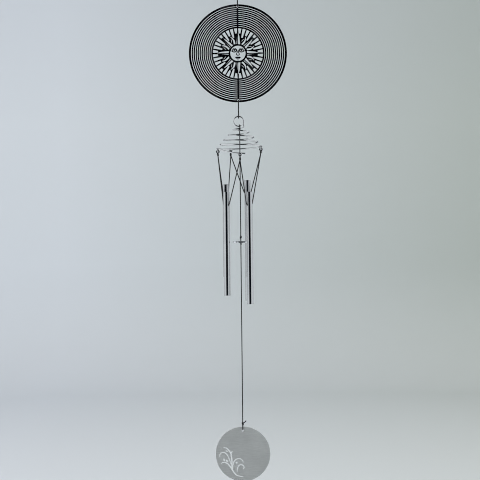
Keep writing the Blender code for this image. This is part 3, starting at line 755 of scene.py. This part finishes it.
def face_cuts():
    """The openings of the face. What is left is drawn in metal: eyes, nose, mouth and chin line."""
    line = FACE_LINE / 2 / MM
    forehead = arc(FACE_RADIUS, radians(22.5), radians(157.5), 36)
    inside = chain(
        (-9.4, 4.2),
        ((-8.4, 9.2), (-3.4, 9.8), (-1.4, 5.8), 16),
        ((0.2, 3.6), (0, 1.6), (-1.5, -0.8), 10),
        ((-1.7, -1.6), (-1.4, -2.2), (-0.8, -2.2), 4),
    )
    inside.append((-0.8 * MM, -2.2 * MM))
    forehead += inside + mirrored(inside)
    cheek = arc(FACE_RADIUS, radians(-88), radians(15.5), 28)
    cheek += chain(
        (9.7, 3),
        ((7.8, 1.2), (3.8, 0.2), (1.9, 3.2), 14),
        ((1.2, 1.6), (3.2, -0.4), (2.7, -2.4), 8),
        ((2.2, -3.1), (1.2, -3.4), (line, -3.4), 5),
        ((line, -4.2), (line, -5.2), (line, -6), 2),
        ((1.3, -5.2), (2.7, -4.5), (4.4, -6.4), 10),
        ((3.2, -8.4), (1.6, -8.8), (line, -7.4), 10),
    )
    lid = chain(
        (2.6, 5.6),
        ((3.8, 8.4), (7, 8.2), (8.5, 4.8), 14),
        ((6.8, 7.3), (4.2, 7.3), (2.6, 5.6), 12),
    )
    white = chain(
        (2.9, 4),
        ((3.6, 4.7), (4.1, 5), (4.6, 5.1), 5),
        ((4.3, 2.8), (7, 2.8), (6.6, 5), 10),
        ((7.4, 4.8), (8, 4.3), (8.5, 3.8), 5),
        ((7, 2.6), (4.2, 2.6), (2.9, 4), 12),
    )
    return [forehead, cheek, mirrored(cheek), lid, mirrored(lid), white, mirrored(white)]


def standing_sheet(name, outlines):
    """The disc's flat sheet, in the XZ plane: the first outline is its edge, the rest are holes."""
    curve = bpy.data.curves.new(name, "CURVE")
    curve.dimensions = "2D"
    curve.fill_mode = "BOTH"
    curve.extrude = DISC_THICKNESS / 2
    for outline in outlines:
        spline = curve.splines.new("POLY")
        spline.points.add(len(outline) - 1)
        spline.use_cyclic_u = True
        for point, (across, up) in zip(spline.points, outline):
            point.co = (across, up, 0, 1)
    mesh = evaluated_mesh(add_object(name, curve))
    shape = bmesh.new()
    shape.from_mesh(mesh)
    bmesh.ops.remove_doubles(shape, verts=shape.verts, dist=0.00001)
    bmesh.ops.recalc_face_normals(shape, faces=shape.faces)
    shape.transform(Matrix.Translation((0, 0, DISC_CENTRE_Z)) @ Matrix.Rotation(pi / 2, 4, "X"))
    shape.to_mesh(mesh)
    shape.free()
    return mesh


# ---------------- routes of wire and cord


def tied_loop(low, low_radius, high, high_radius, cord, astride=0, across=0):
    """A closed loop of cord in a YZ plane: it bends round what holds it at its upper end and round
    what it holds at its lower end, and stands astride of that for a height."""
    close = cord / 2 + GAP / 2
    parting = low + low_radius + astride
    run = min(5 * MM, (high - high_radius - parting) / 3)
    route = arc(low_radius, 0, -pi, 12, (0, low + low_radius))
    if astride:
        route.append((-low_radius, parting))
    route += [(-close, parting + run), (-close, high - high_radius - run)]
    route += arc(high_radius, pi, 0, 12, (0, high - high_radius))
    route += [(close, high - high_radius - run), (close, parting + run)]
    if astride:
        route.append((low_radius, parting))
    return [(across, depth, height) for depth, height in route]


def spiral_point(turns):
    """The spiral's centreline after so many turns, without its eyes."""
    grown = 1 - (1 - min(1, turns / EYE_TURNS["front"])) ** SPIRAL_SWELL
    radius = part_way((SPIRAL_TOP_RADIUS, SPIRAL_FOOT_RADIUS), grown)
    across, depth = polar(radius, tau * turns)
    left, front = EYE_TURNS["left"], EYE_TURNS["front"]
    past = min(1, max(0, (turns - left) / (front - left)))
    height = SPIRAL_TOP_Z - SPIRAL_FALL * turns - SPIRAL_FALL_GROWTH * turns * turns
    height -= LAST_DROP * past * past * (3 - 2 * past)
    return Vector((LINE_X + across, depth, height))


def outwards(turns):
    return Vector((*polar(1, tau * turns), 0))


def eye_shift(turns):
    """How far the run of the wire stands out or in beside an eye, so that it clears itself."""
    shift = 0
    for eye in EYE_TURNS.values():
        along = (turns - eye) * tau * SPIRAL_FOOT_RADIUS
        shift += copysign(EYE_SPACING / 2, -along) * exp(-((along / EYE_SHIFT_RUN) ** 2))
    return shift


def eye_route(turns):
    """The small full curl that makes an eye in the wire."""
    route = []
    for i in range(EYE_STEPS + 1):
        turn = tau * i / EYE_STEPS
        side = EYE_SPACING * (0.5 - i / EYE_STEPS)
        place = spiral_point(turns) + outwards(turns) * side - UP * EYE_RADIUS * (1 - cos(turn))
        route.append(place + outwards(turns + 0.25) * EYE_RADIUS * sin(turn))
    return route


def hanger_route():
    """The hanger's one wire: its closed loop, the bend into the first turn, and the turns with the eyes."""
    loop = arc(LOOP_RADIUS, *LOOP_ENDS, LOOP_STEPS, (0, LOOP_CENTRE_Z))
    route = [Vector((across, 0, height)) for across, height in loop]
    first = spiral_point(SPIRAL_START)
    reach = (first - route[-1]).length * 0.45
    off = (route[-1] - route[-2]).normalized() * reach
    on = (spiral_point(SPIRAL_START + 0.01) - first).normalized() * reach
    corners = (route[-1], route[-1] + off, first - on, first)
    for i in range(1, 24):
        weights = cubic_weights(i / 24)
        route.append(sum((corner * w for corner, w in zip(corners, weights)), Vector()))
    eyes = list(EYE_TURNS.values())
    clear = EYE_CLEARANCE / (tau * SPIRAL_FOOT_RADIUS)
    for before, after in zip([SPIRAL_START, *eyes], [*eyes, SPIRAL_TURNS]):
        begin = before + (clear if before in eyes else 0)
        end = after - (clear if after in eyes else 0)
        steps = max(4, round((end - begin) * TURN_STEPS))
        for k in range(steps + 1):
            turns = begin + (end - begin) * k / steps
            route.append(spiral_point(turns) + outwards(turns) * eye_shift(turns))
        if after in eyes:
            route += eye_route(after)
    return route


def eye_foot(eye):
    """The middle of the wire at the bottom of an eye."""
    return spiral_point(EYE_TURNS[eye]) - UP * 2 * EYE_RADIUS


def eye_knot(eye):
    """The middle of the knot that ties the cord below an eye."""
    return eye_foot(eye) - UP * (WIRE_HOLD + KNOT_HALF_HEIGHT - CORD_RADIUS)


def wire_tie(wire, out, up):
    """A turn of cord round the middle of a wire, in the plane of two ways."""
    turns = [tau * (i + 0.5) / 24 for i in range(24)]
    return [wire + out * WIRE_HOLD * cos(t) + up * WIRE_HOLD * sin(t) for t in turns]


def tube_hole(tube):
    """The middle of the cross hole, and the level way through it from the first eye to the second."""
    first, second = (eye_foot(eye) for eye in tube["eyes"])
    way = second - first
    way.z = 0
    return Vector((*tube["at"], tube["top"] - TUBE_HOLE_DROP)), way.normalized()


def leg_route(knot_centre, hole, way):
    """One leg of a tube's cord: down from the knot, round a bend, into the hole on that side."""
    bend_centre = hole + way * (TUBE_RADIUS - TUBE_WALL) + UP * (TUBE_CORD_BEND + TUBE_CORD_RISE)
    start = knot_centre - UP * KNOT_HALF_HEIGHT * 0.5
    bend = arc(TUBE_CORD_BEND, radians(-15), radians(-90), 5)
    bend = [bend_centre + way * along + UP * up for along, up in bend]
    return [start, *(start.lerp(bend[0], share) for share in (0.1, 0.3, 0.5, 0.7, 0.9, 0.97)), *bend]


def tube_cord_route(tube):
    """From one knot down through the tube and up to the next knot."""
    hole, way = tube_hole(tube)
    first, second = (eye_knot(eye) for eye in tube["eyes"])
    return leg_route(first, hole, -way) + leg_route(second, hole, way)[::-1]


# ---------------- the scroll on the sail

# Strokes in mm from the sail's centre: the widest width, how much of it is left at the start and at
# the end, and then points on the stroke's middle line.
SCROLL = {
    "stem": (
        2, 0.35, 0.5,
        (0.2, -35.2), (-10.3, -32.8), (-16.9, -24.6), (-19.9, -19.6), (-23.4, -15.4), (-26.6, -13.4),
        (-30.2, -12.6), (-33, -13.5), (-33.9, -15.4),
    ),
    "climber": (
        2, 0.4, 0.4,
        (-16.7, -25.6), (-17.6, -19), (-17.5, -11), (-18.1, -4.1), (-19.3, 1.6), (-22.2, 6.1),
        (-25.8, 9.3), (-30.8, 10.4),
    ),
    "climber_tip": (1.8, 0.8, 0.6, (-19, 0.8), (-17.8, 2.4), (-16.5, 4.7)),
    "climber_leaf": (1.9, 0.5, 0.8, (-23.2, 4.6), (-25.2, 4.6), (-27, 5.6)),
    "left_curl": (
        1.5, 0.6, 0.8,
        (-18.6, -16.4), (-20.2, -11.6), (-21.8, -7.2), (-23.8, -2.6), (-27.6, 1.7), (-31.8, 2.9),
        (-35.3, 0.8), (-36.4, -2.2), (-35.9, -4.4),
    ),
    "right_curl": (
        1.6, 0.8, 0.5,
        (-16.6, -24.6), (-15.9, -17), (-13.9, -11.2), (-10.3, -7.9), (-6.1, -7), (-1.9, -8.9), (0.6, -13.4),
    ),
    "inner_curl": (
        1.5, 0.6, 0.9,
        (-9.4, -28), (-9.2, -22.6), (-6.8, -18), (-3.1, -16.6), (0.3, -18.2), (1.4, -21.2), (-0.5, -23.8),
    ),
    "bud": (2.7, 0.5, 0.5, (-11, -12.2), (-10.2, -13.4), (-9.4, -14.8)),
    "leaf_high": (2.6, 0.4, 0.7, (-30.5, -6.8), (-29.7, -8.6), (-28.7, -10.8)),
    "leaf_low": (2.6, 0.4, 0.7, (-26.2, -8.6), (-25.3, -10.4), (-24.2, -12.6)),
}


def stroke_outline(width, at_start, at_end, *points):
    """The outline of a stroke, thickest in its middle and rounded at both ends."""
    route = smooth_route([(x, z, 0) for x, z in points], STROKE_STEP)[:, :2]
    along = np.gradient(route, axis=0)
    along /= np.linalg.norm(along, axis=1)[:, None]
    side = np.stack([-along[:, 1], along[:, 0]], 1)
    t = np.linspace(0, 1, len(route))
    ends = np.where(t < 0.5, at_start, at_end)
    half = width / 2 * (ends + (1 - ends) * np.sin(np.pi * t) ** 0.7)
    half *= np.clip(np.minimum(t, 1 - t) * len(route) / 1.6 + 0.35, 0, 1)
    return np.vstack([route - side * half[:, None], (route + side * half[:, None])[::-1]])


def sail_mesh(name):
    """The sail: a plain back, soft edges, and a front whose etched strokes are faces of their own."""
    rim = circle(SAIL_RADIUS / MM - SAIL_CHAMFER / MM, 160)
    hole = circle(SAIL_HOLE_RADIUS / MM, 32, (0, SAIL_HOLE_FROM_CENTRE / MM))
    outlines = [rim, hole] + [stroke_outline(*stroke) for stroke in SCROLL.values()]
    points, faces = [], []
    for outline in outlines:
        faces.append(list(range(len(points), len(points) + len(outline))))
        points += [Vector(point) for point in outline]
    flat, _, cells, _, _, kept = delaunay_2d_cdt(points, [], faces, 1, 1e-5)
    shape = bmesh.new()
    centre, half = SAIL_CENTRE, SAIL_THICKNESS / 2

    def place(point, depth):
        return (centre.x + point[0] * MM, centre.y + depth, centre.z + point[1] * MM)

    front = [shape.verts.new(place(point, -half)) for point in flat]
    back = [shape.verts.new(place(point, half)) for point in flat]
    for cell, inside in zip(cells, kept):
        if 1 in inside:
            continue
        etched = any(index > 1 for index in inside)
        shape.faces.new([front[i] for i in cell]).material_index = 1 if etched else 0
        shape.faces.new([back[i] for i in reversed(cell)])
    ring = [e for e in shape.edges if len(e.link_faces) == 1 and e.verts[0].co.y < centre.y]
    opposite = dict(zip(front, back))
    middle = Vector((centre.x, 0, centre.z))
    edge_verts = {}

    def from_middle(vert):
        return Vector((vert.co.x, 0, vert.co.z)) - middle

    def edge_of(vert):
        """The vertices on the sheet's outer edge, just below the chamfer, front and back."""
        if vert not in edge_verts:
            out = middle + from_middle(vert).normalized() * SAIL_RADIUS
            depths = (SAIL_CHAMFER - half, half - SAIL_CHAMFER)
            edge_verts[vert] = [shape.verts.new((out.x, centre.y + depth, out.z)) for depth in depths]
        return edge_verts[vert]

    for edge in ring:
        a, b = edge.verts
        rows = [(a, b), (opposite[a], opposite[b])]
        if from_middle(a).length > SAIL_RADIUS * 0.98:
            rows[1:1] = zip(edge_of(a), edge_of(b))
        for (p, q), (r, s) in zip(rows, rows[1:]):
            shape.faces.new((p, q, s, r))
    bmesh.ops.recalc_face_normals(shape, faces=shape.faces)
    return mesh_from(name, shape)


# ---------------- the pieces


def make_ring(steel):
    """The round ring at the top, with the small bead of its weld."""
    reach = RING_INNER_RADIUS + RING_WIRE / 2
    route, radius = [], []
    for i in range(120):
        turn = tau * i / 120
        route.append((reach * sin(turn), 0, -RING_INNER_RADIUS + reach * cos(turn)))
        off = (turn - WELD_PLACE) / WELD_LENGTH
        radius.append(RING_WIRE / 2 * (1 + WELD_RISE * exp(-off * off)))
    skins = Skins()
    skins.tube(route, radius, 24, closed=True)
    skins.add_as("ring_wire", steel, "hanging_ring")


def make_hanging_cord(braid):
    hole_edge = DISC_CENTRE_Z + HOLE_FROM_CENTRE + HOLE_RADIUS
    low = hole_edge - GAP - HOLE_CLEARANCE - HANGING_CORD / 2
    ring_hold = RING_WIRE / 2 + GAP + HANGING_CORD / 2
    high = -2 * RING_INNER_RADIUS - RING_WIRE / 2 + ring_hold
    skins = Skins()
    skins.cord(tied_loop(low, DISC_HOLD, high, ring_hold, HANGING_CORD), HANGING_CORD, closed=True)
    barrel_knot(skins, (0, 0, high - HANGING_KNOT_DROP), 0.4, HANGING_CORD)
    skins.add_as("upper_cord", braid, "hanging_cord")


def make_disc(steel):
    holes = [circle(HOLE_RADIUS, 28, (0, side * HOLE_FROM_CENTRE)) for side in (1, -1)]
    cuts = holes + ring_slots() + sun_slots() + face_cuts()
    for i in range(RAY_COUNT):
        cuts += [*straight_ray(i), flame_ray(i), flame_vein(i)]
    edge = circle(DISC_RADIUS, 4 * ARC_STEPS)
    mesh = standing_sheet("sun_disc", [edge, *cuts])
    add_piece("sun_disc", mesh, [steel], "spinner_disc", 30)


def make_link_cord(braid):
    hole_edge = DISC_CENTRE_Z - HOLE_FROM_CENTRE - HOLE_RADIUS
    high = hole_edge + GAP + HOLE_CLEARANCE + HANGING_CORD / 2
    wire_hold = HANGER_WIRE_RADIUS + GAP + HANGING_CORD / 2
    low = LOOP_CENTRE_Z + LOOP_RADIUS - wire_hold
    skins = Skins()
    skins.cord(tied_loop(low, wire_hold, high, DISC_HOLD, HANGING_CORD), HANGING_CORD, closed=True)
    skins.add_as("lower_cord", braid, "link_cord")


def make_hanger(steel):
    """The hanger's wire, rounded off at both ends."""
    route = smooth_route(hanger_route(), 0.6 * MM)
    ends = np.minimum(np.arange(len(route)), np.arange(len(route))[::-1])
    radius = HANGER_WIRE_RADIUS * np.sqrt(1 - np.clip(1 - (ends + 0.4) / 2.2, 0, 1) ** 2)
    skins = Skins()
    skins.tube(route, radius, 18)
    skins.add_as("hanger_wire", steel, "spiral_hanger")


def make_tube(node, tube, aluminium):
    """A drawn tube, open at both ends, its edges broken, with one hole drilled across it."""
    top, bottom = tube["top"], tube["bottom"]
    bore, soft = TUBE_RADIUS - TUBE_WALL, TUBE_CHAMFER
    hole, way = tube_hole(tube)
    stations = [top - soft, hole.z + 3 * MM, hole.z - 3 * MM, bottom + soft]
    profile = [(bore + soft, top), (TUBE_RADIUS - soft, top)]
    profile += [(TUBE_RADIUS, height) for height in stations]
    profile += [(TUBE_RADIUS - soft, bottom), (bore + soft, bottom)]
    profile += [(bore, height) for height in reversed(stations)]
    mesh = turned(node, profile, TUBE_SIDES, tube["at"])
    mesh = drilled(mesh, hole, way)
    add_piece(node.replace("tube", "chime"), mesh, [aluminium], node, 35)


def make_tube_cord(braid):
    skins = Skins()
    for tube in TUBES.values():
        skins.cord(tube_cord_route(tube))
    for i, (eye, turns) in enumerate(EYE_TURNS.items()):
        skins.cord(wire_tie(eye_foot(eye), outwards(turns), UP), closed=True)
        barrel_knot(skins, eye_knot(eye), 1.3 * i)
    skins.add_as("chime_cord", braid, "tube_cord")


def make_centre_line(braid):
    """Tied round the bottom of the hanger's loop, through the clapper, and tied in the sail's hole."""
    skins = Skins()
    hold = Vector((LINE_X, 0, LOOP_CENTRE_Z - (LOOP_RADIUS ** 2 - LINE_X ** 2) ** 0.5))
    top = hold.z - WIRE_HOLD - KNOT_HALF_HEIGHT
    skins.cord([(LINE_X, 0, top), (LINE_X, 0, SAIL_KNOT_Z)])
    skins.cord(wire_tie(hold, Vector((0, 1, 0)), (hold - UP * LOOP_CENTRE_Z).normalized()), closed=True)
    hole_edge = SAIL_CENTRE.z + SAIL_HOLE_FROM_CENTRE + SAIL_HOLE_RADIUS
    low = hole_edge - GAP - HOLE_CLEARANCE - CORD_RADIUS
    sail_hold = SAIL_THICKNESS / 2 + 2 * GAP + CORD_RADIUS
    astride = SAIL_CENTRE.z + SAIL_RADIUS + GAP - low - sail_hold
    foot = tied_loop(low, sail_hold, SAIL_KNOT_Z, CORD_RADIUS + GAP / 2, CORD, astride, LINE_X)
    skins.cord(foot, closed=True)
    tag_root = Vector((LINE_X, 0, SAIL_KNOT_Z + 0.8 * MM))
    skins.cord([tag_root, tag_root + TAG_END * 0.55 - UP * 0.4 * MM, tag_root + TAG_END])
    for height, turn in ((top, 0.9), (SAIL_KNOT_Z, 2.1), (CLAPPER_CENTRE.z + CLAPPER_KNOT_RISE, 0.2)):
        barrel_knot(skins, (LINE_X, 0, height), turn)
    below = CLAPPER_CENTRE.z - CLAPPER_THICKNESS / 2 - GAP - 0.7 * MM
    stop = []
    for i in range(33):
        across, depth = polar(STOP_RADIUS, tau * STOP_TURNS * i / 32)
        stop.append((LINE_X + across, depth, below - STOP_HEIGHT * i / 32))
    skins.tight_cord(stop, STOP_STRAND * CORD)
    skins.add_as("middle_cord", braid, "centre_line")


def make_clapper(steel):
    """A thin round disc with a full round edge and a drilled middle."""
    bore = CORD_RADIUS + GAP
    top = CLAPPER_CENTRE.z + CLAPPER_THICKNESS / 2
    bottom = CLAPPER_CENTRE.z - CLAPPER_THICKNESS / 2
    soft = CLAPPER_SOFT * CLAPPER_THICKNESS / 2
    profile = [(bore, top - BORE_CHAMFER), (bore + BORE_CHAMFER, top)]
    profile += arc(soft, pi / 2, 0, 6, (CLAPPER_RADIUS - soft, top - soft))
    profile += arc(soft, 0, -pi / 2, 6, (CLAPPER_RADIUS - soft, bottom + soft))
    profile += [(bore + BORE_CHAMFER, bottom), (bore, bottom + BORE_CHAMFER)]
    mesh = turned("striker", profile, 96, (CLAPPER_CENTRE.x, 0))
    add_piece("striker", mesh, [steel], "clapper", 35)


def make_sail(satin, etched):
    add_piece("wind_sail", sail_mesh("wind_sail"), [satin, etched], "sail", 25)


# ---------------- studio and camera


def make_studio():
    """""A pale round floor that curves up into a wall, the same shape from every side."""
    profile = [(0.1 * MM, FLOOR_Z), (1, FLOOR_Z), (2.5, FLOOR_Z), (FLOOR_RADIUS, FLOOR_Z)]
    profile += arc(FLOOR_CURVE, radians(-80), 0, 8, (FLOOR_RADIUS, FLOOR_Z + FLOOR_CURVE))
    profile.append((FLOOR_RADIUS + FLOOR_CURVE, WALL_TOP))
    mesh = turned("studio", profile, 128, (0, 0), closed=False)
    mesh.shade_smooth()
    mesh.flip_normals()
    paper = Finish("studio_paper_painted_light", (0.8, 0.82, 0.85), 0, 0.95)
    paper.shader.inputs["Specular IOR Level"].default_value = 0
    apart = paper.add("ShaderNodeSeparateXYZ", {"Vector": paper.place()})
    # painted light: the paper's colour is lighter on the left than on the right, in different shades on
    # floor and wall
    across = paper.between(apart.outputs["X"], 0, 1, -1, 1)
    rise = paper.between(apart.outputs["Z"], 0, 1, -1, -0.5)
    wall = paper.shades(across, (0.825, 0.86, 0.905), (0.57, 0.61, 0.58), 0.12, 1)
    floor = paper.shades(across, (0.675, 0.705, 0.745), (0.605, 0.635, 0.62), 0.12, 1)
    # painted shade: the paper darkens towards the top of the wall
    high = paper.shades(apart.outputs["Z"], (1, 1, 1), (0.91, 0.915, 0.93), 0.1, 0.7)
    mesh.materials.append(paper.made(paper.times(paper.mix(rise, floor, wall), high)))
    studio = add_object("studio", mesh)
    studio.visible_glossy = False


def make_light():
    """Soft light from both sides and above. The polished metal mirrors a world of its own: bright at
    the sides, dark behind the camera and overhead, and behind the object a pale wall between two
    narrow dark bands."""
    for name, place, size, power in (
        ("left_light", (-2.6, -1.6, 1.9), 2.2, 33),
        ("right_light", (2.6, -1.4, 1.9), 2.2, 23),
        ("top_light", (0, 0.6, 3.0), 3.0, 30),
    ):
        data = bpy.data.lights.new(name, "AREA")
        data.shape, data.size, data.energy = "DISK", size, power
        light = add_object(name, data)
        light.location = place
        aim = Vector((0, 0, -0.4)) - Vector(place)
        light.rotation_euler = aim.to_track_quat("-Z", "Y").to_euler()
        light.visible_camera = light.visible_glossy = False
    world = bpy.data.worlds.new("studio_air")
    bpy.context.scene.world = world
    world.use_nodes = True
    air = Nodes(world.node_tree)
    way = air.add("ShaderNodeTexCoord").outputs["Generated"]
    apart = air.add("ShaderNodeSeparateXYZ", {"Vector": way}).outputs
    azimuth = air.add("ShaderNodeMath", {0: apart["X"], 1: apart["Y"]}, operation="ARCTAN2").outputs[0]
    either_way = air.add("ShaderNodeMath", {0: azimuth}, operation="ABSOLUTE").outputs[0]
    half_turn = air.add("ShaderNodeMath", {0: either_way, 1: pi}, operation="DIVIDE").outputs[0]
    ramp = air.add("ShaderNodeValToRGB", {"Fac": half_turn})
    elements = ramp.color_ramp.elements
    elements[0].color, elements[1].color = PALE_WALL, DARK_ROOM
    for position, colour in MIRROR_STOPS:
        elements.new(position).color = colour
    dome = air.mix(air.between(apart["Z"], 0, 1, 0.6, 0.75), ramp.outputs["Color"], DIM_CEILING)
    in_mirrors = air.add("ShaderNodeLightPath").outputs["Is Glossy Ray"]
    background = air.tree.nodes["Background"].inputs
    air.tree.links.new(air.mix(in_mirrors, SOFT_AIR, dome), background["Color"])
    background["Strength"].default_value = 1


def make_camera():
    data = bpy.data.cameras.new("photo_camera")
    data.sensor_width = 36
    data.lens = 36 * CAMERA_DISTANCE / VIEW_WIDTH
    camera = add_object("photo_camera", data)
    place = Matrix.Translation((CAMERA_ACROSS, -CAMERA_DISTANCE, CAMERA_HEIGHT))
    level = Matrix.Rotation(pi / 2, 4, "X")
    camera.matrix_world = place @ Matrix.Rotation(CAMERA_ROLL, 4, "Y") @ level
    scene = bpy.context.scene
    scene.camera = camera
    scene.view_settings.view_transform = "Standard"
    scene.cycles.filter_width = 1


make_camera()
make_studio()
make_light()

WIRE_STEEL = bright_wire()
BRAID = black_braid()
TUBE_METAL = drawn_aluminium()

make_ring(WIRE_STEEL)
make_hanging_cord(BRAID)
make_disc(painted_dark_reflection_steel())
make_link_cord(BRAID)
make_hanger(WIRE_STEEL)
for node_name, tube_sizes in TUBES.items():
    make_tube(node_name, tube_sizes, TUBE_METAL)
make_tube_cord(BRAID)
make_centre_line(BRAID)
make_clapper(clapper_steel())
make_sail(satin_steel(), etched_steel())

bpy.context.view_layer.update()
